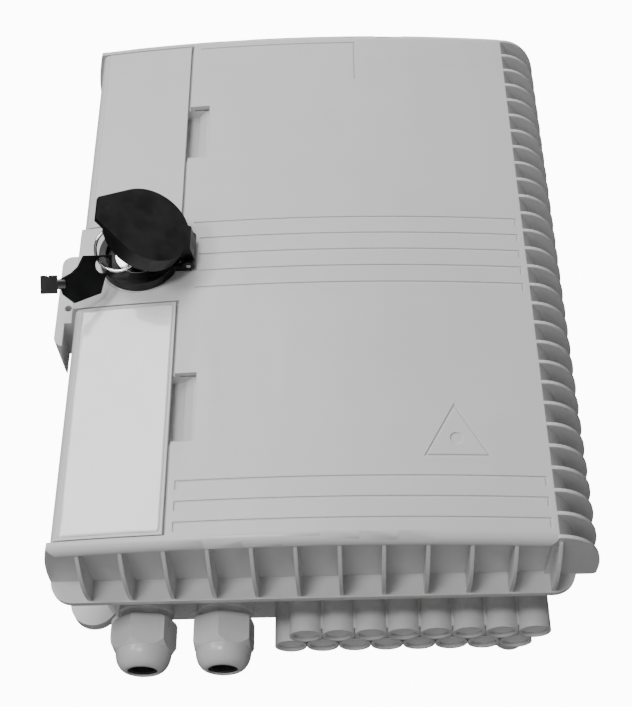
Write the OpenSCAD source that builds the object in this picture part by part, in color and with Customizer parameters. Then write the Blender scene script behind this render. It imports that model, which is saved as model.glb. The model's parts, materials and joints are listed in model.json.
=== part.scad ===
// Wall-mounted fibre termination box with a hinged cover, two paddle latches,
// a key lock under a dust cap, two cable glands and a block of drop-cable ports.
// X runs across the box, Y runs into the wall, Z points up. Units are millimetres.
// The origin is the centre of the four wall screws, on the back plane.

/* [Cover] */
// Left edge of the cover's front face
front_x0 = -103; // [-105:0.5:-101]
// Right edge of the cover's front face
front_x1 = 97; // [95:0.5:99]
// Half height of the cover's front face
front_z = 138; // [137:0.5:140]
// How far the front face bows forward at mid width
crown = 6; // [4:0.5:8]
// Wall thickness of the cover
skin = 2.5; // [2:0.1:3]
// Corner radius of the rim flange
rim_r = 10; // [6:1:14]
// Number of cooling fins up the right side
fin_count = 28; // [10:1:28]
// Thickness of a fin
fin_t = 1.5; // [1.2:0.1:2.5]
// Number of ribs along the top and along the bottom
rib_count = 12; // [6:1:12]
// Thickness of a rib
rib_t = 1.6; // [1.2:0.1:3]

/* [Base] */
// Left side of the base housing
base_x0 = -96; // [-97:0.5:-95]
// Right side of the base housing
base_x1 = 102; // [101:0.5:103]
// Half height of the base housing
base_z = 129.5; // [129:0.5:130]
// Wall thickness of the base housing
wall = 3; // [2.5:0.1:3.2]
// Half the distance between wall screws, across
screw_x = 85; // [80:1:88]
// Half the distance between wall screws, up and down
screw_z = 139; // [138:0.5:141]
// Radius of the wall screw holes
screw_hole_r = 3; // [2:0.1:3.5]

/* [Ports and glands] */
// Number of drop-cable tubes in a row
port_count = 8; // [2:1:8]
// Outer radius of a drop-cable tube
port_r = 6.95; // [6.9:0.01:7]
// Bore radius of a drop-cable tube
port_bore = 5.55; // [4:0.05:5.7]
// Across-flats size of the dome nuts
nut_flats = 24; // [22:0.5:25]
// Radius of the cable hole through a gland's seal
cable_r = 5; // [3:0.25:5.5]

/* [Lock and latches] */
// Opening angle at which the dust cap stands
cap_angle = 31; // [25:1:40]
// Radius of the dust cap
cap_r = 18.5; // [18:0.25:19]
// Running clearance of pins in their bores
run = 0.06; // [0.02:0.01:0.1]

/* [Hidden] */

eps = 0.01;
gap = 0.3;                       // clearance between parts of different bodies
far = 400;                       // longer than anything it has to cut

// Cover stations from front to back
front_y = -95;                   // plane of the left and right front edges
back_y = -57;                    // plane where the cover meets the base
flange_y = -60;                  // front of the rim flange
seat_y = -64;                    // front of the gasket seat
front_w = front_x1 - front_x0;
front_cx = (front_x0 + front_x1) / 2;
crown_r = (pow(front_w / 2, 2) + pow(crown, 2)) / (2 * crown);
depth = flange_y - front_y;
fin_z0 = -135.6;                 // lowest fin
rim_x = 108;                     // half width of the rim flange
rim_z = 144.5;                   // half height of the rim flange
left_rim_x = -108.5;
lug_corner_z = 122.5;            // lugs behind the left corners
lip_t = 4.5;                     // depth of the front plate's lip
lip_r = 4.2;                     // round along the lip's front edge
end_z = 135;                     // outside of the recessed top and bottom walls
// Flank radii: each flank leaves the flange square and meets the front edge
right_r = (pow(rim_x - front_x1, 2) + pow(depth, 2)) / (2 * (rim_x - front_x1));
left_r = (pow(front_x0 - left_rim_x, 2) + pow(depth, 2)) / (2 * (front_x0 - left_rim_x));

// Gasket line
seal_left = base_x0 + 1.2;
seal_right = base_x1 - 1.2;
seal_z = base_z - 1.4;

// Cover hinge, on the right
hinge_x = 107;
hinge_y = -52.5;
hinge_z = 95;
knuckle_r = 4;
hinge_pin_r = 1.5;

// Paddle latches, on the left
latch_x = -98.6;
latch_y = -91.7;
barrel_r = 3.6;
latch_pin_r = 1.25;
latch_right = -57;
latch_z0 = 22.6;
latch_z1 = 132.8;
latch_mid = 77;
latch_t = 2.2;
claw_w = 14;
claw_tip_x = -101.4;
striker_gap = 0.35;
latch_notch_z0 = 59.5;           // finger notch beside a flap
latch_notch_h = 32.5;

// Lock
lock_x = -74.4;
lock_z = 1.7;
lock_y = -98.4;                  // seat of the lock on the cover
lock_r = 8;
plug_r = 5;
keeper_x = -85.4;                // face of the keeper the cam's tip stands beside
cap_hinge_x = lock_x + 22.5;
cap_hinge_y = -103.4;
cap_rim_y = -103.9;
cap_depth = 8.7;
cap_base_t = 5.2;                // height of the ring the cap shuts on
cap_knuckle_r = 2.8;
strap_w = 12;
lug_t = 2.4;
lug_z = strap_w / 2 + gap + lug_t / 2;

// Ports and glands
port_pitch = 13.88;
port_x = -4.2;
port_web_t = 2.4;                // how far the webs reach past the tubes' centre lines
port_front_y = -29.5;
port_back_y = -17.6;
port_end = -149.5;
gland_x = [-73, -39];
gland_y = -30;
gland_turn = [14, 25];
nut_z = 12.6;                    // start of a dome nut, below the bottom wall
dome_end = 34.2;
seal_end = 33;

// Inside fittings
panel_z = -62;
adapter_pitch = 12;
adapter_x = 3;
adapter_y = [-37, -19.5];
tray_x0 = -70;
tray_x1 = 82;
tray_z0 = -14;
tray_z1 = 104;
tray_y = -46;
tray_t = 10;
tray_hinge_x = 85;
tray_hinge_y = -42;
clamp_z = -104;
clamp_x0 = -90;
clamp_x1 = -22;
clamp_screw_x = [-86, -56, -26];

// Keys and their ring
key_turn = -40;                  // how far the inserted key is turned about the lock's axis
ring_hole_y = -115;              // hole in the inserted key's bow, on the lock's axis
ring_r = 9.5;
ring_tilt = 32.7;                // lean of the ring away from the cover
ring_at_1 = 35;                  // where on the ring the inserted key hangs
ring_at_2 = 225;                 // where on the ring the second key hangs
wire_r = 0.7;

shell_grey = [0.80, 0.81, 0.80];
inner_grey = [0.86, 0.87, 0.86];
black = [0.06, 0.06, 0.065];
steel = [0.72, 0.73, 0.74];
rubber = [0.12, 0.12, 0.12];

function crown_y(x) = front_y - crown * (1 - pow((x - front_cx) / (front_w / 2), 2));

// ---- Shared shapes ----

// Rounded rectangle between two corners
module rounded(x0, x1, y0, y1, r) {
    translate([x0 + r, y0]) square([x1 - x0 - 2 * r, y1 - y0]);
    translate([x0, y0 + r]) square([x1 - x0, y1 - y0 - 2 * r]);
    for (x = [x0 + r, x1 - r], y = [y0 + r, y1 - r]) translate([x, y]) circle(r, $fn = 48);
}

// Extrudes a shape drawn in X and Z from one Y to another
module slab(y0, y1) {
    translate([0, y1, 0]) rotate([90, 0, 0]) linear_extrude(y1 - y0) children();
}

// Extrudes a shape drawn in X and Y from one Z to another
module rise(z0, z1) {
    translate([0, 0, z0]) linear_extrude(z1 - z0) children();
}

// Box between two corners
module block(a, b) {
    translate(a) cube(b - a);
}

// Cylinder along Z
module post(x, y, z0, z1, r, fn = 48) {
    translate([x, y, z0]) cylinder(h = z1 - z0, r = r, $fn = fn);
}

// Cylinder along Y
module stud(x, z, y0, y1, r, fn = 48) {
    translate([x, y1, z]) rotate([90, 0, 0]) cylinder(h = y1 - y0, r = r, $fn = fn);
}

// Hexagon of a given size across its flats
module hexagon(flats) {
    circle(flats / sqrt(3), $fn = 6);
}

// Pan-head screw along Y, with a cross recess; its head sits on the plane y
module pan_screw(x, z, y, shank, r) {
    difference() {
        union() {
            stud(x, z, y - 0.8 * r, y, 1.9 * r);
            stud(x, z, y - eps, y + shank, r);
        }
        for (turn = [0, 90]) translate([x, y - 0.8 * r, z]) rotate([0, turn, 0])
            cube([2.4 * r, 0.8 * r, 0.5 * r], center = true);
    }
}

// ---- Cover ----

// Cross-section of the cover, drawn in X and Y, with its surface moved in by t
module profile(t) {
    intersection() {
        translate([front_cx, front_y - crown + crown_r]) circle(crown_r - t, $fn = 1440);
        union() {
            translate([-far, -far]) square([far + rim_x - right_r, 2 * far]);
            translate([rim_x - right_r, flange_y]) circle(right_r - t, $fn = 180);
        }
        union() {
            translate([left_rim_x + left_r, -far]) square([far, 2 * far]);
            translate([left_rim_x + left_r, flange_y]) circle(left_r - t, $fn = 360);
        }
        translate([-far, -far]) square([2 * far, far + back_y]);
    }
}

// Quarter-ellipse fin with a small round at its back corner
module fin_outline() {
    reach = 19;
    rise_y = 28;
    corner = 2;
    polygon(concat(
        [for (a = [0:7.5:90]) [front_x1 + reach * sin(a), front_y + rise_y - rise_y * cos(a)]],
        [for (a = [0:30:90]) [
            front_x1 + reach - corner + corner * cos(a),
            flange_y + 1 - corner + corner * sin(a)]],
        [[front_x1 - 2, flange_y + 1], [front_x1 - 2, front_y + 2]]
    ));
}

// Rib from the front lip back to the edge of the rim flange
module end_rib(x) {
    bow = 3.4;
    y0 = crown_y(x) + lip_t - 1;
    steps = 8;
    translate([x - rib_t / 2, 0, 0]) rotate([90, 0, 90]) linear_extrude(rib_t) polygon(concat(
        [for (i = [0:steps]) let (s = i / steps) [
            y0 + s * (back_y - y0 - 1),
            -(front_z - 0.6) - s * (rim_z - front_z - 0.4) - bow * sin(180 * s)]],
        [[back_y - 1, -end_z + 1], [y0, -end_z + 1]]
    ));
}

module latch_pocket() {
    rise(latch_z0 - 0.6, latch_z1 + 0.5) intersection() {
        difference() {
            profile(-3);
            profile(latch_t + 0.4);
        }
        translate([-far, -far]) square([far + latch_right + 1.2, 2 * far]);
    }
    post(latch_x, latch_y, latch_z0 - 0.6, latch_z1 + 0.5, barrel_r + gap);
    block([-far, -far, latch_z0 - 0.6], [latch_x, latch_y, latch_z1 + 0.5]);
    // well for the claw
    block([-102, -93, latch_mid - 10], [-84, -77, latch_mid + 10]);
    // finger notch, deepest beside the flap
    translate([0, 0, latch_notch_z0]) linear_extrude(latch_notch_h) polygon([
        [latch_right - 1, -120], [latch_right - 1, -90.5], [latch_right + 4.6, -91.9],
        [latch_right + 10.5, -97.2], [latch_right + 10.5, -120]]);
    // chute for the catch post, open at the back
    rise(latch_mid - 9, latch_mid + 9) polygon([
        [-104.9, -84.5], [-99.2, -84.5], [-99.2, back_y + 1], [-106.7, back_y + 1], [-106.6, back_y - 2]]);
}

// Solid left behind the latch pocket: floor, well walls and the pin's ear
module latch_backing() {
    rise(latch_z0 - 3, end_z - 1) intersection() {
        difference() {
            profile(1);
            profile(latch_t + 2.4);
        }
        translate([-far, -far]) square([far + latch_right + 3, 2 * far]);
    }
    intersection() {
        union() {
            block([-108, -94, latch_mid - 12], [-82, -75, latch_mid + 12]);
            block([-108, -90, latch_mid - 11], [-97.8, back_y, latch_mid + 11]);
            block([latch_right - 4, -96, latch_notch_z0 - 2],
                  [latch_right + 12.5, -88.5, latch_notch_z0 + latch_notch_h + 2]);
            block([-103, -96, latch_z0 - 11], [-94, -86.5, latch_z0]);
            block([-103, -96, latch_z1], [-94, -86.5, end_z]);
        }
        rise(-far, far) profile(1);
    }
}

// Does the same for the upper latch and, lower down, for the lower latch
module both_latches() {
    children();
    mirror([0, 0, 1]) children();
}

// Engraved frame lines on the front
module front_lines() {
    w = 0.7;
    for (i = [0:4]) line_across(-48 + (i == 0 ? -3 : 0) + (i == 4 ? -1 : 0), 94.5, 20 - 9 * i, w, false);
    for (i = [0:2]) line_across(-53, 94.6, -110.5 - 9 * i, w, true);
    line_across(-52, 24.3, 130.5, w, false);
    block([24.3 - w, -far, 106], [24.3, far, 130.5 + w]);
}

// A line across the front with short ticks turned down at its ends
module line_across(x0, x1, z, w, both) {
    tick = 3.4;
    block([x0, -far, z], [x1, far, z + w]);
    block([x1 - w, -far, z - tick], [x1, far, z + eps]);
    if (both) block([x0, -far, z - tick], [x0 + w, far, z + eps]);
}

// Plain triangular frame with a round dot, engraved low on the right
module front_emblem() {
    translate([59.9, 0, -101.4]) slab(-far, far) difference() {
        polygon([[-13.5, 0], [13.5, 0], [0, 24.4]]);
        polygon([[-12.1, 0.75], [12.1, 0.75], [0, 22.6]]);
    }
    translate([59.9, 0, -101.4]) slab(-far, far) translate([0, 8.2]) circle(2.6, $fn = 32);
}

// Front plate that reaches past the end walls
module front_lip() {
    intersection() {
        rise(-front_z, front_z) difference() {
            profile(0);
            profile(lip_t);
        }
        slab(-far, front_y + lip_t) rounded(front_x0 - 1, front_x1 + 1, -front_z, front_z, 5);
    }
}

// Solid of revolution about the crown's axis, which rolls the top and bottom edges of the front
module rolled_front() {
    translate([front_cx, front_y - crown + crown_r, 0]) rotate_extrude($fn = 1440)
        rounded(crown_r - 80, crown_r, -front_z, front_z, lip_r);
}

module cover_shell() {
    difference() {
        union() {
            difference() {
                intersection() {
                    union() {
                        rise(-end_z, end_z) profile(0);
                        front_lip();
                    }
                    rolled_front();
                }
                rise(-end_z + skin, end_z - skin) profile(skin);
            }
            // rim flange
            slab(flange_y, back_y) rounded(left_rim_x, rim_x, -rim_z, rim_z, rim_r);
            // gasket seat
            intersection() {
                slab(seat_y, back_y) square([2 * far, 2 * end_z - 2], center = true);
                rise(-end_z, end_z) profile(1);
            }
            // lock boss
            stud(lock_x, lock_z, lock_y, -94.5, cap_r - 0.3, 96);
            slab(-84, flange_y + 1) rounded(-113, -100, -34, 15, 4.5);
            both_latches() latch_backing();
            for (i = [0:rib_count - 1]) {
                end_rib(front_x0 + 11.6 + 17.2 * i);
                mirror([0, 0, 1]) end_rib(front_x0 + 11.6 + 17.2 * i);
            }
            for (i = [0:fin_count - 1])
                rise(fin_z0 + 10 * i - fin_t / 2, fin_z0 + 10 * i + fin_t / 2) fin_outline();
            for (z = [-hinge_z, hinge_z]) {
                post(hinge_x, hinge_y, z - 6, z + 6, knuckle_r);
                block([104, back_y - 0.5, z - 6], [hinge_x + knuckle_r - 1, hinge_y, z + 6]);
            }
        }
        // inside of the seat
        slab(seat_y - eps, 0) rounded(seal_left + 5.3, seal_right - 5.3, -seal_z + 5.4, seal_z - 5.4, 6);
        // gasket groove
        slab(back_y - 5.5, 0) difference() {
            rounded(seal_left - 2.7, seal_right + 2.7, -seal_z - 2.6, seal_z + 2.6, 9);
            rounded(seal_left + 2.7, seal_right - 2.7, -seal_z + 2.7, seal_z - 2.7, 6);
        }
        for (z = [-hinge_z, hinge_z]) {
            post(hinge_x, hinge_y, z - 7, z + 7, hinge_pin_r + run);
            // room for the base's knuckles
            for (s = [-1, 1]) post(hinge_x, hinge_y, z + s * 10.5 - 4.5, z + s * 10.5 + 4.5, knuckle_r + 0.4);
        }
        both_latches() {
            latch_pocket();
            post(latch_x, latch_y, latch_z0 - 10, latch_z1 + 2.2, latch_pin_r + 0.05);
        }
        // seat and hole of the lock
        stud(lock_x, lock_z, -120, lock_y, cap_r - 0.3, 96);
        stud(lock_x, lock_z, -120, -80, lock_r + 0.1);
        // drain-off of the boss, where a sealing wire can pass
        stud(-108, -14, -90, -50, 1.6);
        difference() {
            union() {
                front_lines();
                front_emblem();
            }
            rise(-far, far) profile(0.4);
        }
    }
}

module cover() {
    color(shell_grey) cover_shell();
}

module cover_gasket() {
    color(rubber) slab(back_y - 5.4, back_y - 2.1) difference() {
        rounded(seal_left - 2.2, seal_right + 2.2, -seal_z - 2.1, seal_z + 2.1, 8.5);
        rounded(seal_left + 2.2, seal_right - 2.2, -seal_z + 2.2, seal_z - 2.2, 6.5);
    }
}

module latch_pins() {
    color(steel) both_latches() post(latch_x, latch_y, latch_z0 - 9.5, latch_z1 + 2, latch_pin_r);
}

module latch() {
    difference() {
        union() {
            rise(latch_z0, latch_z1) intersection() {
                difference() {
                    profile(0);
                    profile(latch_t);
                }
                translate([latch_x, -far]) square([latch_right - latch_x, far + latch_y]);
            }
            post(latch_x, latch_y, latch_z0, latch_z1, barrel_r);
            // claw, with a flank that leans out under the striker
            rise(latch_mid - claw_w / 2, latch_mid + claw_w / 2) polygon([
                [-98.4, -88.9], [-96.8, -88.9], [-96.8, -79], [claw_tip_x, -79], [claw_tip_x, -80]]);
        }
        post(latch_x, latch_y, latch_z0 - 1, latch_z1 + 1, latch_pin_r + run);
    }
}

module upper_latch() {
    color(shell_grey) latch();
}

module lower_latch() {
    color(shell_grey) mirror([0, 0, 1]) latch();
}

// ---- Base ----

module wall_ear(x, z) {
    out = z > 0 ? 1 : -1;
    slab(-5, 0) difference() {
        union() {
            translate([x, z]) circle(8, $fn = 64);
            translate([x - 8, out > 0 ? base_z - 4 : z]) square([16, abs(z) - base_z + 4]);
        }
        translate([x, z]) circle(screw_hole_r, $fn = 48);
    }
}

// Posts outside the left wall that carry the strikers
module catch_posts() {
    z0 = latch_mid - claw_w / 2;
    z1 = latch_mid + claw_w / 2;
    color(shell_grey) both_latches() {
        block([-103.6, -56.4, z0], [base_x0, -44, z1]);
        block([-103.6, -80, z0], [claw_tip_x - striker_gap, -50, z1]);
    }
}

// Wedges on the posts that the latch claws grip
module strikers() {
    color(steel) both_latches() rise(latch_mid - claw_w / 2, latch_mid + claw_w / 2) polygon([
        [-103.6, -80], [claw_tip_x - striker_gap, -80],
        [claw_tip_x - striker_gap + 1.3, -83.9], [-103.6, -83.9]]);
}

module base_housing() {
    color(shell_grey) difference() {
        union() {
            difference() {
                slab(back_y + gap, 0) rounded(base_x0, base_x1, -base_z, base_z, 9);
                slab(back_y - 5, -wall) rounded(base_x0 + wall, base_x1 - wall, -base_z + wall, base_z - wall, 4);
            }
            // tongue that presses on the gasket
            slab(back_y - 1.8, back_y + 1) difference() {
                rounded(seal_left - 0.9, seal_right + 0.9, -seal_z - 0.9, seal_z + 0.9, 7.9);
                rounded(seal_left + 0.9, seal_right - 0.9, -seal_z + 0.9, seal_z - 0.9, 6.1);
            }
            for (x = [-screw_x, screw_x], z = [-screw_z, screw_z]) wall_ear(x, z);
            // lugs at the left corners
            for (z = [-lug_corner_z, lug_corner_z]) stud(-101, z, -6, 0, 11, 64);
            // hinge arms
            for (z = [-hinge_z, hinge_z], s = [-1, 1]) {
                post(hinge_x, hinge_y, z + s * 10.2 - 3.8, z + s * 10.2 + 3.8, knuckle_r);
                block([base_x1 - 1, -56, z + s * 10.2 - 3.8], [hinge_x, -49, z + s * 10.2 + 3.8]);
            }
            // keeper for the lock's cam
            block([base_x0 + 1, -56, lock_z - 7], [keeper_x, -44, lock_z + 7]);
            block([keeper_x - 2, -79, lock_z - 7], [keeper_x, -44, lock_z + 7]);
            block([keeper_x - 2, -79, lock_z - 7], [keeper_x + 2.7, -76.6, lock_z + 7]);
            // screw bosses for the inner fittings
            for (p = panel_bosses()) stud(p[0], p[1], -9, -1, 4);
        }
        for (p = panel_bosses()) stud(p[0], p[1], -12, -2, 1.5);
        for (z = [-hinge_z, hinge_z]) post(hinge_x, hinge_y, z - 15, z + 15, hinge_pin_r + 0.01);
        for (x = gland_x) post(x, gland_y, -base_z - 1, -base_z + wall + 1, 10.1, 64);
        port_places() post(0, 0, -base_z - 1, -115, port_r + 0.05, 64);
        port_web(0, -base_z - 1, -base_z + wall + 1);
    }
}

// Fills the gaps between the tubes, t smaller all round
module port_web(t, z0, z1) {
    span = port_pitch * (port_count - 1);
    back_x = port_x - port_pitch / 2;
    block([back_x + t, port_front_y + t, z0], [port_x + span - t, port_back_y - t, z1]);
    block([port_x, port_front_y - port_web_t + t, z0], [port_x + span, port_front_y + 1, z1]);
    block([back_x, port_back_y - 1, z0], [back_x + span, port_back_y + port_web_t - t, z1]);
}

// Screw bosses: two for the adapter panel and two for each tray bracket
function panel_bosses() = [[-2, panel_z + 12], [92, panel_z + 12], [77, tray_z0 - 9], [92, tray_z0 - 9],
                           [77, tray_z1 + 9], [92, tray_z1 + 9]];

module port_places() {
    for (i = [0:port_count - 1]) {
        translate([port_x + port_pitch * i, port_front_y, 0]) children();
        translate([port_x - port_pitch / 2 + port_pitch * i, port_back_y, 0]) children();
    }
}

module port_block() {
    flange_z = -base_z + wall;
    color(shell_grey) difference() {
        union() {
            port_places() post(0, 0, port_end, -116, port_r, 64);
            port_web(0.05, port_end + 2.5, flange_z + 1);
            block([-14, -38, flange_z + 0.05], [95, -9.4, flange_z + 2]);
        }
        port_places() post(0, 0, port_end - 1, -115, port_bore, 64);
    }
}

module port_plugs() {
    color(inner_grey) port_places() difference() {
        post(0, 0, port_end + 1.6, port_end + 12, port_bore - 0.03, 64);
        post(0, 0, port_end + 4, port_end + 13, port_bore - 1.6, 64);
    }
}

module hinge_pins() {
    color(steel) for (z = [-hinge_z, hinge_z]) post(hinge_x, hinge_y, z - 14, z + 14, hinge_pin_r);
}

// ---- Cable glands, each drawn downwards from the bottom wall ----

module at_gland(i) {
    translate([gland_x[i], gland_y, -base_z]) mirror([0, 0, 1]) children();
}

module gland_body(i) {
    color(shell_grey) at_gland(i) difference() {
        union() {
            post(0, 0, -10, 20, 10, 64);
            intersection() {
                rotate([0, 0, gland_turn[i] + 30]) rise(1.9, 9.6) hexagon(nut_flats);
                post(0, 0, 1.9, 9.6, 12.5, 64);
            }
            post(0, 0, 9, 12.3, 11.3, 64);
        }
        post(0, 0, -11, 21, 7.6, 64);
    }
}

module gland_gasket(i) {
    color(rubber) at_gland(i) difference() {
        post(0, 0, 0, 1.9, 12.2, 64);
        post(0, 0, -1, 3, 10.05, 64);
    }
}

module gland_locknut(i) {
    color(inner_grey) at_gland(i) difference() {
        rise(-wall - 5, -wall) hexagon(25);
        post(0, 0, -wall - 6, -wall + 1, 10.05, 64);
    }
}

module gland_seal(i) {
    color(rubber) at_gland(i) difference() {
        union() {
            post(0, 0, 10, 20, 7.5, 64);
            post(0, 0, 20, 30, 8.6, 64);
            post(0, 0, 29, seal_end, 6.9, 64);
        }
        post(0, 0, 9, 35, cable_r, 64);
    }
}

// Dome nut: a hexagon below, a domed nose with the cable hole on top
module gland_dome_nut(i) {
    color(shell_grey) at_gland(i) rotate([0, 0, gland_turn[i]]) difference() {
        union() {
            intersection() {
                rise(nut_z, 26) hexagon(nut_flats);
                rotate_extrude($fn = 96) polygon([
                    [0, nut_z], [13, nut_z], [14, nut_z + 1], [14, 23], [11.8, 26.5], [0, 26.5]]);
            }
            rotate_extrude($fn = 96) polygon(concat([[0, 24]],
                [for (a = [0:10:80]) [6.4 + 5.5 * cos(a), 26 + (dome_end - 26) * sin(a)]], [[0, dome_end]]));
        }
        post(0, 0, 9, 20.4, 10 + run, 64);
        post(0, 0, 20, 30.3, 9, 64);
        post(0, 0, 29, seal_end + 0.2, 7.1, 64);
        post(0, 0, 30, 37, 6.35, 64);
    }
}

module gland_1_body() { gland_body(0); }
module gland_1_gasket() { gland_gasket(0); }
module gland_1_locknut() { gland_locknut(0); }
module gland_1_seal() { gland_seal(0); }
module gland_1_dome_nut() { gland_dome_nut(0); }
module gland_2_body() { gland_body(1); }
module gland_2_gasket() { gland_gasket(1); }
module gland_2_locknut() { gland_locknut(1); }
module gland_2_seal() { gland_seal(1); }
module gland_2_dome_nut() { gland_dome_nut(1); }

// ---- Inside fittings ----

module clamp_base() {
    color(inner_grey) difference() {
        block([clamp_x0, gland_y + 0.4, clamp_z - 5], [clamp_x1, -wall, clamp_z + 5]);
        for (x = gland_x) post(x, gland_y, clamp_z - 6, clamp_z + 6, cable_r + 0.2);
        for (x = clamp_screw_x) stud(x, clamp_z, gland_y - 2, gland_y + 14, 1.6);
    }
}

module clamp_bar() {
    color(steel) difference() {
        block([clamp_x0, gland_y - 8, clamp_z - 5], [clamp_x1, gland_y - 0.4, clamp_z + 5]);
        for (x = gland_x) post(x, gland_y, clamp_z - 6, clamp_z + 6, cable_r + 0.2);
        for (x = clamp_screw_x) stud(x, clamp_z, gland_y - 9, gland_y, 2.1);
    }
}

module clamp_screws() {
    color(steel) for (x = clamp_screw_x) pan_screw(x, clamp_z, gland_y - 8, 20, 1.55);
}

module adapter_places() {
    for (i = [0:7], y = adapter_y) translate([adapter_x + adapter_pitch * i, y, panel_z]) children();
}

module adapter_panel() {
    color(steel) difference() {
        union() {
            block([-8, -46, panel_z - 0.75], [97, -9.1, panel_z + 0.75]);
            block([-8, -10.6, panel_z - 0.75], [97, -9.1, panel_z + 18]);
        }
        adapter_places() cube([9.4, 13.0, 4], center = true);
        for (i = [0:1]) stud(panel_bosses()[i][0], panel_bosses()[i][1], -12, -8, 1.7);
    }
}

module sc_adapters() {
    color([0.10, 0.42, 0.25]) adapter_places() difference() {
        union() {
            cube([9.3, 12.9, 27], center = true);
            translate([0, 0, 1.85]) cube([9.3, 15.4, 2.2], center = true);
        }
        for (s = [-1, 1]) translate([0, 0, s * 9]) cube([7.2, 9.4, 10], center = true);
        cylinder(h = 30, r = 1.25, center = true, $fn = 24);
    }
}

module panel_screws() {
    color(steel) for (i = [0:1]) pan_screw(panel_bosses()[i][0], panel_bosses()[i][1], -10.6, 7, 1.45);
}

module splitter_module() {
    color(inner_grey) difference() {
        slab(-13, -wall) rounded(-62, 58, 6, 86, 3);
        for (i = [0:7]) translate([-50 + 13 * i, -8, 4]) cube([5, 4, 12], center = true);
    }
}

// Open spool that keeps stored fibre from bending too tightly
module fibre_spools() {
    color(inner_grey) for (x = [-62, -30]) {
        difference() {
            stud(x, -60, -22, -wall, 14, 96);
            stud(x, -60, -23, -wall - 2, 12, 96);
        }
        for (a = [45:90:315]) translate([x + 16 * cos(a), -21, -60 + 16 * sin(a)])
            rotate([0, -a, 0]) cube([6, 2, 6], center = true);
    }
}

module bracket(z) {
    inner = z > 0 ? -1 : 1;
    foot = z > 0 ? [z - 1, z + 14] : [z - 14, z + 1];
    difference() {
        union() {
            block([72, -47, z - 1], [96, -9.1, z + 1]);
            block([72, -10.6, foot[0]], [96, -9.1, foot[1]]);
        }
        post(tray_hinge_x, tray_hinge_y, z - 3, z + 3, 2 + run);
        for (x = [77, 92]) stud(x, z - 7.5 * inner, -12, -8, 1.7);
    }
}

module tray_brackets() {
    color(steel) {
        bracket(tray_z0 - 1.5);
        bracket(tray_z1 + 1.5);
    }
}

module bracket_screws() {
    color(steel) for (i = [2:5]) pan_screw(panel_bosses()[i][0], panel_bosses()[i][1], -10.6, 7, 1.45);
}

module splice_tray() {
    lip = 2;
    color([0.88, 0.88, 0.86]) difference() {
        union() {
            difference() {
                slab(tray_y, tray_y + tray_t) rounded(tray_x0, tray_x1, tray_z0, tray_z1, 8);
                slab(tray_y - 1, tray_y + tray_t - lip)
                    rounded(tray_x0 + lip, tray_x1 - lip, tray_z0 + lip, tray_z1 - lip, 6);
            }
            // fibre hold-down tabs
            for (x = [-40, 0, 40], z = [tray_z0 + 5, tray_z1 - 5])
                block([x - 5, tray_y, z - 4], [x + 5, tray_y + 1.4, z + 4]);
            // hinge edge
            block([tray_x1 - 8, tray_hinge_y - 3.6, tray_z0 + 8], [tray_hinge_x, tray_hinge_y + 3.6, tray_z0 + 22]);
            block([tray_x1 - 8, tray_hinge_y - 3.6, tray_z1 - 22], [tray_hinge_x, tray_hinge_y + 3.6, tray_z1 - 8]);
            post(tray_hinge_x, tray_hinge_y, tray_z0, tray_z0 + 22, 3.6);
            post(tray_hinge_x, tray_hinge_y, tray_z1 - 22, tray_z1, 3.6);
        }
        post(tray_hinge_x, tray_hinge_y, tray_z0 - 1, tray_z0 + 23, 2.0);
        post(tray_hinge_x, tray_hinge_y, tray_z1 - 23, tray_z1 + 1, 2.0);
        // fibre inlets in the lower edge
        for (x = [-58, -30, 30]) block([x - 6, tray_y - 1, tray_z0 - 1], [x + 6, tray_y + 5, tray_z0 + 3]);
    }
}

module splice_holder() {
    color([0.2, 0.35, 0.6]) difference() {
        block([-34, tray_y + 2.6, 32], [34, tray_y + tray_t - 2, 64]);
        for (i = [0:11]) block([-32.2 + 5.5 * i, tray_y, 31], [-28.8 + 5.5 * i, tray_y + 5.4, 65]);
    }
}

module tray_pins() {
    color(steel) {
        post(tray_hinge_x, tray_hinge_y, tray_z0 - 3.5, tray_z0 + 18, 2);
        post(tray_hinge_x, tray_hinge_y, tray_z1 - 18, tray_z1 + 3.5, 2);
    }
}

// ---- Lock, dust cap and keys ----

module lock_body() {
    color(steel) difference() {
        union() {
            stud(lock_x, lock_z, lock_y - 4, lock_y - 2, 10.5, 64);
            stud(lock_x, lock_z, lock_y - 3, -77, lock_r, 64);
        }
        stud(lock_x, lock_z, -110, -70, plug_r + run, 64);
    }
}

module lock_nut() {
    color(steel) difference() {
        slab(-94.4, -90) translate([lock_x, lock_z]) hexagon(20);
        stud(lock_x, lock_z, -96, -88, lock_r + 0.02, 64);
    }
}

module lock_plug() {
    color(steel) difference() {
        union() {
            stud(lock_x, lock_z, lock_y - 4.2, -76.6, plug_r, 64);
            translate([lock_x, -74.4, lock_z]) cube([5, 4.6, 5], center = true);
        }
        turned_key() block([-4.1, -104, -0.95], [4.1, -82, 0.95]);
        stud(lock_x, lock_z, -78, -70, 1.5, 32);
    }
}

module lock_cam() {
    color(steel) difference() {
        slab(-75.8, -73.3) intersection() {
            translate([lock_x, lock_z]) circle(lock_x - keeper_x - gap, $fn = 64);
            translate([lock_x - 12, lock_z - 6]) square([18, 12]);
        }
        block([lock_x - 2.55, -77, lock_z - 2.55], [lock_x + 2.55, -72, lock_z + 2.55]);
    }
}

module cam_screw() {
    color(steel) pan_screw_back(lock_x, lock_z, -72.1, 5, 1.45);
}

// Pan-head screw that enters from behind, head towards +Y
module pan_screw_back(x, z, y, shank, r) {
    translate([0, 2 * y, 0]) mirror([0, 1, 0]) pan_screw(x, z, y, shank, r);
}

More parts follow.
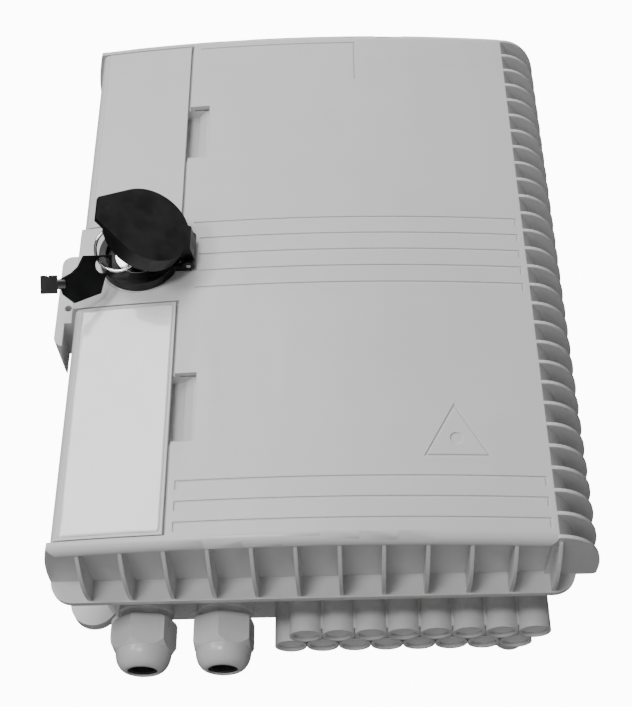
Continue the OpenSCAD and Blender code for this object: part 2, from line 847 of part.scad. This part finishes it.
// Black ring that the cap shuts on, with the hinge lugs at its right
module cap_base() {
    color(black) difference() {
        union() {
            stud(lock_x, lock_z, lock_y - cap_base_t, lock_y, cap_r - 0.8, 96);
            for (z = [lock_z - lug_z, lock_z + lug_z]) {
                post(cap_hinge_x, cap_hinge_y, z - lug_t / 2, z + lug_t / 2, cap_knuckle_r);
                block([lock_x + 14.6, cap_hinge_y, z - lug_t / 2],
                      [cap_hinge_x + 1, lock_y - 1.7, z + lug_t / 2]);
            }
        }
        stud(lock_x, lock_z, lock_y - 7, lock_y - 2, cap_r - 4);
        stud(lock_x, lock_z, lock_y - 7, lock_y + 1, lock_r + 0.1, 64);
        post(cap_hinge_x, cap_hinge_y, lock_z - 10, lock_z + 10, 1.02);
    }
}

module cap_hinge_pin() {
    color(steel) post(cap_hinge_x, cap_hinge_y, lock_z - 8.7, lock_z + 8.7, 1);
}

// Outline of the cap: a disc with a thumb tab joined to it by tangents
module cap_outline(r, tab) {
    half = 5.8;
    far_x = 24;
    dist = sqrt(pow(far_x, 2) + pow(half, 2));
    turn = 180 - atan2(half, far_x) - acos(r / dist);
    circle(r, $fn = 96);
    if (tab) polygon([
        [r * cos(turn), r * sin(turn)], [-far_x, half], [-far_x, -half], [r * cos(turn), -r * sin(turn)]]);
}

// Cap drawn shut and then stood open about its hinge
module dust_cap() {
    top = cap_rim_y - cap_depth;
    color(black) translate([cap_hinge_x, cap_hinge_y, 0]) rotate([0, 0, cap_angle])
        translate([-cap_hinge_x, -cap_hinge_y, 0]) difference() {
            union() {
                slab(top, top + 2.2) translate([lock_x, lock_z]) cap_outline(cap_r, true);
                stud(lock_x, lock_z, top, cap_rim_y, cap_r, 96);
                // strap and knuckle
                post(cap_hinge_x, cap_hinge_y, lock_z - strap_w / 2, lock_z + strap_w / 2, cap_knuckle_r);
                rise(lock_z - strap_w / 2, lock_z + strap_w / 2) polygon([
                    [lock_x + 14, top], [lock_x + 19, top], [cap_hinge_x + 2, cap_hinge_y - 2],
                    [cap_hinge_x - 2, cap_hinge_y + 1.5], [lock_x + 18, cap_rim_y], [lock_x + 14, cap_rim_y]]);
            }
            stud(lock_x, lock_z, top + 2.2, cap_rim_y + 1, cap_r - 1.8, 96);
            post(cap_hinge_x, cap_hinge_y, lock_z - 10, lock_z + 10, 1 + run);
        }
}

// Point on the key ring, measured from its centre
function on_ring(a) = ring_r * [cos(a), -sin(ring_tilt) * sin(a), cos(ring_tilt) * sin(a)];
ring_c = [lock_x, ring_hole_y, lock_z] - on_ring(ring_at_1);

module key_blade(len) {
    difference() {
        block([-3.9, 0, -0.85], [3.9, len, 0.85]);
        for (i = [0:3]) translate([4.4, 4 + 4 * i, 0]) rotate([0, 0, 45]) cube([2, 2, 4], center = true);
    }
}

// Turns a key drawn flat in X and Y about the lock's axis
module turned_key() {
    translate([lock_x, 0, lock_z]) rotate([0, key_turn, 0]) children();
}

module key_1_blade() {
    color(steel) turned_key() {
        translate([0, -106.2, 0]) key_blade(23);
        translate([0, -106.2, 0]) rotate([90, 0, 0]) cylinder(h = 2, r = 2.6, $fn = 32);
    }
}

module key_1_bow() {
    half = 9;
    color(black) turned_key() difference() {
        translate([0, 0, -1.5]) linear_extrude(3) polygon([
            [-4, -106.3], [4, -106.3], [half, -109], [half, ring_hole_y - 1],
            [6, ring_hole_y - 4.4], [-6, ring_hole_y - 4.4], [-half, ring_hole_y - 1], [-half, -109]]);
        post(0, ring_hole_y, -3, 3, 2.4);
        translate([0, -106, 0]) rotate([90, 0, 0]) cylinder(h = 2.3, r = 2.65, $fn = 32);
    }
}

module key_ring() {
    color(steel) translate(ring_c) rotate([90 + ring_tilt, 0, 0])
        rotate_extrude($fn = 96) translate([ring_r, 0]) circle(wire_r, $fn = 24);
}

// Second key: its hole is at the origin, X runs to the blade and Y down the bow
module key_2_place() {
    translate(ring_c + on_ring(ring_at_2)) rotate([236.8, 21.35, 211.4]) children();
}

module key_2_blade() {
    color([0.3, 0.3, 0.31]) key_2_place() {
        translate([18.3, 7.7, 0]) rotate([0, 90, 0]) cylinder(h = 3.6, r = 2.2, $fn = 32);
        translate([21.4, 7.7, 0]) rotate([0, 0, -90]) key_blade(7.2);
    }
}

module key_2_bow() {
    half_t = 1.0;
    color(black) key_2_place() difference() {
        translate([0, 0, -half_t]) linear_extrude(2 * half_t) polygon([
            [-4.3, -4.3], [-4.3, 1.5], [-1, 5.4], [1.1, 12.2], [13.5, 16], [18.5, 12.2], [19.8, 8.1],
            [19.4, 5.4], [14.4, 3.1], [11.3, 0.5], [8.6, -4.2]]);
        cylinder(h = 8, r = 3.6, center = true, $fn = 48);
        translate([18.2, 7.7, 0]) rotate([0, 90, 0]) cylinder(h = 4, r = 2.25, $fn = 32);
    }
}

base_housing();
port_block();
port_plugs();
hinge_pins();
clamp_base();
clamp_bar();
clamp_screws();
adapter_panel();
sc_adapters();
panel_screws();
splitter_module();
fibre_spools();
tray_brackets();
bracket_screws();
gland_1_body();
gland_1_gasket();
gland_1_locknut();
gland_1_seal();
gland_1_dome_nut();
gland_2_body();
gland_2_gasket();
gland_2_locknut();
gland_2_seal();
gland_2_dome_nut();
catch_posts();
strikers();
splice_tray();
splice_holder();
tray_pins();
cover();
cover_gasket();
latch_pins();
lock_body();
lock_nut();
cap_base();
cap_hinge_pin();
upper_latch();
lower_latch();
lock_plug();
lock_cam();
cam_screw();
dust_cap();
key_1_blade();
key_1_bow();
key_ring();
key_2_blade();
key_2_bow();
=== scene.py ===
"""Looks of the fibre termination box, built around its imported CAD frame."""
import json
import math

import bmesh
import bpy
from mathutils import Matrix, Vector


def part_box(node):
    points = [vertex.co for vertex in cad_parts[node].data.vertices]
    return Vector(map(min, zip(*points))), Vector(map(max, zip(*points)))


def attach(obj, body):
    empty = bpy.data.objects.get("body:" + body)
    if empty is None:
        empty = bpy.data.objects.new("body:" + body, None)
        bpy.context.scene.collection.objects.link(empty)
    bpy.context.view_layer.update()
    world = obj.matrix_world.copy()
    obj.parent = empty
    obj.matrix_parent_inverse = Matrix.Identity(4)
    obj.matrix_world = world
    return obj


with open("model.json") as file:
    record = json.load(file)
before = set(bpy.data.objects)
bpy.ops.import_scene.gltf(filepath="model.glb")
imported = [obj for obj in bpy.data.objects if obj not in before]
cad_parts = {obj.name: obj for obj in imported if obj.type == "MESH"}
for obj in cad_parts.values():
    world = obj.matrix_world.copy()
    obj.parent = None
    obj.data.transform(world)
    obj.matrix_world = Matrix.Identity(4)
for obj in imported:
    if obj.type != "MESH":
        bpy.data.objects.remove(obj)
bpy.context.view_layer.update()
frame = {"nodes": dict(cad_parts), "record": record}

MM = 0.001

# Camera: in front of the box and below it, looking up
CAMERA_AT = Vector((0.01753, -0.54943, -0.34091))
CAMERA_FORWARD = Vector((-0.0261, 0.8408, 0.5407))
CAMERA_RIGHT = Vector((0.99929, 0.03658, -0.00865))
SENSOR_MM = 36.0
LENS_MM = 1271.6 * SENSOR_MM / 707

FLOOR_Z = -0.78                  # metres, under the wall-mounted box
FLOOR_SIZE = 40


# ---- Materials ----

COAT_ROUGHNESS = 0.07


class Shader:
    """A node material under construction, with short calls for the nodes used here."""

    def __init__(self, name, rough=0.5, metal=0.0, gloss=0.5, coat=0.0):
        self.material = bpy.data.materials.new(name)
        self.material.use_nodes = True
        self.tree = self.material.node_tree
        self.bsdf = self.tree.nodes["Principled BSDF"]
        self.bsdf.inputs["Roughness"].default_value = rough
        self.bsdf.inputs["Metallic"].default_value = metal
        self.bsdf.inputs["Specular IOR Level"].default_value = gloss
        self.bsdf.inputs["Coat Weight"].default_value = coat
        self.bsdf.inputs["Coat Roughness"].default_value = COAT_ROUGHNESS
        self.place = self.node("ShaderNodeTexCoord").outputs["Object"]

    def node(self, kind, **settings):
        made = self.tree.nodes.new(kind)
        for key, value in settings.items():
            setattr(made, key, value)
        return made

    def link(self, source, target):
        self.tree.links.new(source, target)

    def noise(self, scale, detail=3.0, stretch=(1, 1, 1), rough=0.5):
        """Noise over object coordinates; scale is in waves per metre."""
        mapping = self.node("ShaderNodeMapping")
        mapping.inputs["Scale"].default_value = stretch
        self.link(self.place, mapping.inputs["Vector"])
        noise = self.node("ShaderNodeTexNoise")
        noise.inputs["Scale"].default_value = scale
        noise.inputs["Detail"].default_value = detail
        noise.inputs["Roughness"].default_value = rough
        self.link(mapping.outputs["Vector"], noise.inputs["Vector"])
        return noise.outputs["Fac"]

    def spread(self, fac, low, high, start=0.3, end=0.7):
        """Maps a 0 to 1 value onto low to high."""
        ranger = self.node("ShaderNodeMapRange")
        ranger.inputs["From Min"].default_value = start
        ranger.inputs["From Max"].default_value = end
        ranger.inputs["To Min"].default_value = low
        ranger.inputs["To Max"].default_value = high
        self.link(fac, ranger.inputs["Value"])
        return ranger.outputs["Result"]

    def blend(self, fac, first, second):
        """Mixes two colours, or a colour and a socket, by fac."""
        mix = self.node("ShaderNodeMix", data_type="RGBA")
        self.link(fac, mix.inputs["Factor"])
        for socket, value in ((mix.inputs["A"], first), (mix.inputs["B"], second)):
            if isinstance(value, tuple):
                socket.default_value = (*value, 1)
            else:
                self.link(value, socket)
        return mix.outputs["Result"]

    def colour(self, source):
        self.link(source, self.bsdf.inputs["Base Color"])

    def roughness(self, source):
        self.link(source, self.bsdf.inputs["Roughness"])

    def rounded_edges(self, radius):
        """Normal that runs smoothly round sharp edges, radius in metres."""
        bevel = self.node("ShaderNodeBevel")
        bevel.samples = 8
        bevel.inputs["Radius"].default_value = radius
        return bevel.outputs["Normal"]

    def bump(self, height, distance, strength=1.0, under=None):
        """Adds a bump of the given depth in metres, on top of an earlier one."""
        bump = self.node("ShaderNodeBump")
        bump.inputs["Distance"].default_value = distance
        bump.inputs["Strength"].default_value = strength
        self.link(height, bump.inputs["Height"])
        if under is not None:
            self.link(under, bump.inputs["Normal"])
        self.link(bump.outputs["Normal"], self.bsdf.inputs["Normal"])
        return bump.outputs["Normal"]


def shade(colour, factor):
    return tuple(min(1.0, channel * factor) for channel in colour)


def moulded_plastic(name, colour, rough, grain=0.000012, grain_scale=2600, gloss=0.5, edge=None):
    """Moulded plastic: fine spark-eroded grain, faint flow marks, specks and slight scuffing."""
    s = Shader(name, rough, gloss=gloss)
    tone = s.noise(14, 4)
    base = s.blend(s.spread(tone, 0, 1), shade(colour, 0.965), shade(colour, 1.03))
    flow = s.noise(9, 2, stretch=(1, 1, 6))
    base = s.blend(s.spread(flow, 0, 0.5, 0.4, 0.75), base, shade(colour, 1.05))
    specks = s.noise(900, 2)
    s.colour(s.blend(s.spread(specks, 0, 0.35, 0.68, 0.78), base, shade(colour, 0.86)))
    scuffs = s.noise(120, 5, stretch=(1, 1, 0.15))
    s.roughness(s.spread(scuffs, rough - 0.06, rough + 0.09))
    waves = s.bump(s.noise(22, 2), 0.00012, under=s.rounded_edges(edge) if edge else None)
    s.bump(s.noise(grain_scale, 2), grain, under=waves)
    return s.material


def scratched_black(name, colour, rough):
    """Black plastic that is handled: fine scratches both ways and a dusty bloom."""
    s = Shader(name, rough, gloss=0.35)
    dust = s.noise(70, 6)
    base = s.blend(s.spread(dust, 0, 1, 0.45, 0.8), colour, shade(colour, 2.6))
    scratches = s.noise(300, 4, stretch=(1, 0.06, 0.4))
    s.colour(s.blend(s.spread(scratches, 0, 0.6, 0.66, 0.74), base, shade(colour, 9)))
    s.roughness(s.spread(s.noise(140, 4), rough - 0.08, rough + 0.14))
    fine = s.bump(scratches, 0.00001)
    s.bump(s.noise(1500, 2), 0.000018, under=fine)
    return s.material


def cling_film(name, colour):
    """Protective film left on a panel: glossy, with soft waves and small trapped bubbles."""
    s = Shader(name, 0.2, gloss=0.6, coat=1.0)
    haze = s.noise(26, 5)
    s.colour(s.blend(s.spread(haze, 0, 1), shade(colour, 0.95), shade(colour, 1.04)))
    s.roughness(s.spread(s.noise(60, 4), 0.12, 0.3))
    waves = s.bump(s.noise(18, 2, stretch=(1, 1, 0.5)), 0.0012)
    creases = s.bump(s.noise(75, 3, stretch=(1, 1, 0.3)), 0.00012, under=waves)
    s.bump(s.spread(s.noise(420, 1), 0, 1, 0.7, 0.8), 0.00004, under=creases)
    return s.material


def rubber(name, colour):
    s = Shader(name, 0.75)
    dust = s.noise(300, 4)
    s.colour(s.blend(s.spread(dust, 0, 1), colour, shade(colour, 1.9)))
    s.roughness(s.spread(dust, 0.65, 0.85))
    s.bump(s.noise(1800, 3), 0.00002)
    return s.material


def brushed(name, colour, rough, direction=(1, 1, 18)):
    s = Shader(name, rough, 1.0)
    streaks = s.noise(260, 6, stretch=direction)
    stain = s.noise(60, 3)
    s.colour(s.blend(s.spread(stain, 0, 1), shade(colour, 0.82), shade(colour, 1.08)))
    s.roughness(s.spread(streaks, rough - 0.1, rough + 0.15))
    s.bump(streaks, 0.000008)
    return s.material


def polished(name, colour):
    s = Shader(name, 0.12, 1.0)
    smear = s.noise(220, 4)
    s.colour(s.blend(s.spread(smear, 0, 1), shade(colour, 0.9), colour))
    s.roughness(s.spread(smear, 0.06, 0.2))
    s.bump(s.noise(900, 2), 0.000004)
    return s.material


GREY = (0.60, 0.605, 0.60)
MATERIALS = {
    "housing_plastic": moulded_plastic("housing grey", shade(GREY, 0.97), 0.30),
    "cover_plastic": moulded_plastic("cover grey", GREY, 0.34, edge=0.0006),
    "latch_plastic": moulded_plastic("latch grey", shade(GREY, 1.02), 0.32),
    "light_plastic": moulded_plastic("light grey", shade(GREY, 1.1), 0.4),
    "black_plastic": scratched_black("black plastic", (0.0025, 0.0025, 0.003), 0.42),
    "black_rubber": rubber("black rubber", (0.015, 0.015, 0.015)),
    "chrome_metal": polished("chrome", (0.82, 0.83, 0.84)),
    "dark_metal": brushed("key steel", (0.16, 0.16, 0.165), 0.42),
    "zinc_steel": brushed("zinc", (0.62, 0.63, 0.65), 0.34),
    "green_plastic": moulded_plastic("adapter green", (0.03, 0.22, 0.09), 0.35),
    "blue_plastic": moulded_plastic("holder blue", (0.04, 0.12, 0.35), 0.4),
}
# The film is a real protective sheet, but its colour is set half again lighter than the grey plastic under
# it. That lighter colour is a painted reflection, standing in for the bright sheen on the glossy film.
FILM_WITH_PAINTED_SHEEN = cling_film("cling film", shade(GREY, 1.5))

EDGE = {                          # bevel width of a node's sharp edges, in millimetres
    "base_housing": 0.5, "upper_latch": 0.3, "lower_latch": 0.3, "dust_cap": 0.35,
    "cap_base": 0.35, "key_1_bow": 0.35, "key_2_bow": 0.35, "gland_1_dome_nut": 0.4,
    "gland_2_dome_nut": 0.4, "gland_1_body": 0.4, "gland_2_body": 0.4, "port_block": 0.25,
}
FINE_EDGE = 0.15                 # for every other node
SHARP = math.radians(32)          # edges at least this sharp are rounded


def soften(obj, width):
    """Rounds a piece's sharp edges so that they catch the light."""
    weld = obj.modifiers.new("weld", "WELD")
    weld.merge_threshold = 1e-6
    bevel = obj.modifiers.new("bevel", "BEVEL")
    bevel.width = width * MM
    bevel.segments = 3
    bevel.limit_method = "ANGLE"
    bevel.angle_limit = SHARP
    bevel.use_clamp_overlap = True
    bevel.harden_normals = False
    normals = obj.modifiers.new("normals", "WEIGHTED_NORMAL")
    normals.keep_sharp = False
    normals.weight = 80


OWN_LOOK = {"lock_plug": polished("lock face", (0.5, 0.505, 0.51))}

slots = {part["node"]: part["material_slot"] for part in frame["record"]["subparts"]}
for name, obj in frame["nodes"].items():
    material = OWN_LOOK.get(name, MATERIALS[slots[name]])
    obj.data.materials.clear()
    obj.data.materials.append(material)
    if name != "cover":           # its edges are rounded in the shader
        soften(obj, EDGE.get(name, FINE_EDGE))


# ---- Protective film on the lower latch ----

FILM_THICKNESS = 0.00006
FILM_CORNER = 0.0015
LOOSE_BY = 0.00012               # how far the film's edge lifts
LOOSE_BAND = 0.003               # width of the strip that lifts
RAY_START = 0.02                 # in front of the node


def film_on(name, node, body, margin, lift, steps):
    """Thin sheet laid over the front of a node, with rounded corners and a slightly loose edge.

    margin is left, right, and top and bottom alike, in metres; steps is across and along.
    """
    low, high = (Vector(corner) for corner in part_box(node))
    under = frame["nodes"][node]
    x0, x1 = low.x + margin[0], high.x - margin[1]
    z0, z1 = low.z + margin[2], high.z - margin[2]
    across, along = steps
    radius = FILM_CORNER
    form = bmesh.new()
    grid = []
    for row in range(along + 1):
        line = []
        for col in range(across + 1):
            x = x0 + (x1 - x0) * col / across
            z = z0 + (z1 - z0) * row / along
            # corner rounding
            dx = max(x0 + radius - x, x - x1 + radius, 0)
            dz = max(z0 + radius - z, z - z1 + radius, 0)
            reach = math.hypot(dx, dz)
            if reach > radius:
                pull = radius / reach
                x += math.copysign(dx * (1 - pull), (x0 + x1) / 2 - x)
                z += math.copysign(dz * (1 - pull), (z0 + z1) / 2 - z)
            hit, spot, _, _ = under.ray_cast(Vector((x, low.y - RAY_START, z)), Vector((0, 1, 0)))
            edge = min(x - x0, x1 - x, z - z0, z1 - z)
            loose = LOOSE_BY * max(0, 1 - edge / LOOSE_BAND) * (0.5 + 0.5 * math.sin(310 * x + 170 * z))
            y = (spot.y if hit else low.y) - lift - loose
            line.append(form.verts.new((x, y, z)))
        grid.append(line)
    for row in range(along):
        for col in range(across):
            form.faces.new((grid[row][col], grid[row][col + 1], grid[row + 1][col + 1], grid[row + 1][col]))
    bmesh.ops.recalc_face_normals(form, faces=form.faces)
    mesh = bpy.data.meshes.new(name)
    form.to_mesh(mesh)
    form.free()
    for face in mesh.polygons:
        face.use_smooth = True
    sheet = bpy.data.objects.new(name, mesh)
    bpy.context.collection.objects.link(sheet)
    skin = sheet.modifiers.new("thickness", "SOLIDIFY")
    skin.thickness = FILM_THICKNESS
    mesh.materials.append(FILM_WITH_PAINTED_SHEEN)
    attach(sheet, body)
    return sheet


film_on("latch_film", "lower_latch", "lower_latch", (0.0035, 0.0012, 0.0012), 0.00012, (40, 90))


# ---- Floor, lights and camera ----

def plane(name, size, at):
    half = size / 2
    mesh = bpy.data.meshes.new(name)
    corners = [(-half, -half, 0), (half, -half, 0), (half, half, 0), (-half, half, 0)]
    mesh.from_pydata([Vector(c) + Vector(at) for c in corners], [], [(0, 1, 2, 3)])
    obj = bpy.data.objects.new(name, mesh)
    bpy.context.collection.objects.link(obj)
    return obj


floor = plane("floor", FLOOR_SIZE, (0, 0, FLOOR_Z))
floor_shader = Shader("floor", 0.7)
floor_shader.colour(floor_shader.blend(floor_shader.noise(3, 4), (0.5, 0.5, 0.5), (0.54, 0.54, 0.54)))
floor.data.materials.append(floor_shader.material)


def backdrop(radius, brightness):
    """Pale dome around the set. The camera sees it, and it throws no light."""
    mesh = bpy.data.meshes.new("backdrop")
    form = bmesh.new()
    bmesh.ops.create_icosphere(form, subdivisions=4, radius=radius)
    bmesh.ops.reverse_faces(form, faces=form.faces)
    form.to_mesh(mesh)
    form.free()
    dome = bpy.data.objects.new("backdrop", mesh)
    bpy.context.collection.objects.link(dome)
    material = bpy.data.materials.new("backdrop")
    material.use_nodes = True
    tree = material.node_tree
    tree.nodes.clear()
    glow = tree.nodes.new("ShaderNodeEmission")
    glow.inputs["Color"].default_value = (1, 1, 1, 1)
    glow.inputs["Strength"].default_value = brightness
    tree.links.new(glow.outputs["Emission"], tree.nodes.new("ShaderNodeOutputMaterial").inputs["Surface"])
    mesh.materials.append(material)
    dome.visible_diffuse = dome.visible_glossy = dome.visible_transmission = False
    dome.visible_shadow = dome.visible_volume_scatter = False


backdrop(25, 12)


def area_light(name, at, towards, size, power):
    light = bpy.data.lights.new(name, "AREA")
    light.shape = "RECTANGLE"
    light.size, light.size_y = size
    light.energy = power
    obj = bpy.data.objects.new(name, light)
    obj.location = at
    obj.rotation_euler = (Vector(towards) - Vector(at)).to_track_quat("-Z", "Y").to_euler()
    bpy.context.collection.objects.link(obj)


area_light("key", (-0.45, -1.4, 0.72), (-0.02, 0, 0), (0.9, 0.7), 12)
area_light("front left", (-0.95, -1.25, -0.02), (-0.08, 0, -0.1), (0.3, 0.3), 8)
area_light("front low", (-0.3, -1.5, -0.28), (-0.02, 0, -0.12), (0.35, 0.2), 9)
area_light("top", (0.2, -0.5, 1.5), (0, 0, 0), (1.2, 0.8), 13)

world = bpy.data.worlds.new("studio")
world.use_nodes = True
world.node_tree.nodes["Background"].inputs["Color"].default_value = (1, 1, 1, 1)
world.node_tree.nodes["Background"].inputs["Strength"].default_value = 0.04
bpy.context.scene.world = world

camera_data = bpy.data.cameras.new("camera")
camera_data.sensor_width = SENSOR_MM
camera_data.lens = LENS_MM
camera_data.clip_start = 0.01
camera = bpy.data.objects.new("camera", camera_data)
forward = CAMERA_FORWARD.normalized()
right = (CAMERA_RIGHT - forward * CAMERA_RIGHT.dot(forward)).normalized()
up = right.cross(forward)
camera.matrix_world = Matrix((
    (right.x, up.x, -forward.x, CAMERA_AT.x),
    (right.y, up.y, -forward.y, CAMERA_AT.y),
    (right.z, up.z, -forward.z, CAMERA_AT.z),
    (0, 0, 0, 1)))
bpy.context.collection.objects.link(camera)
bpy.context.scene.camera = camera
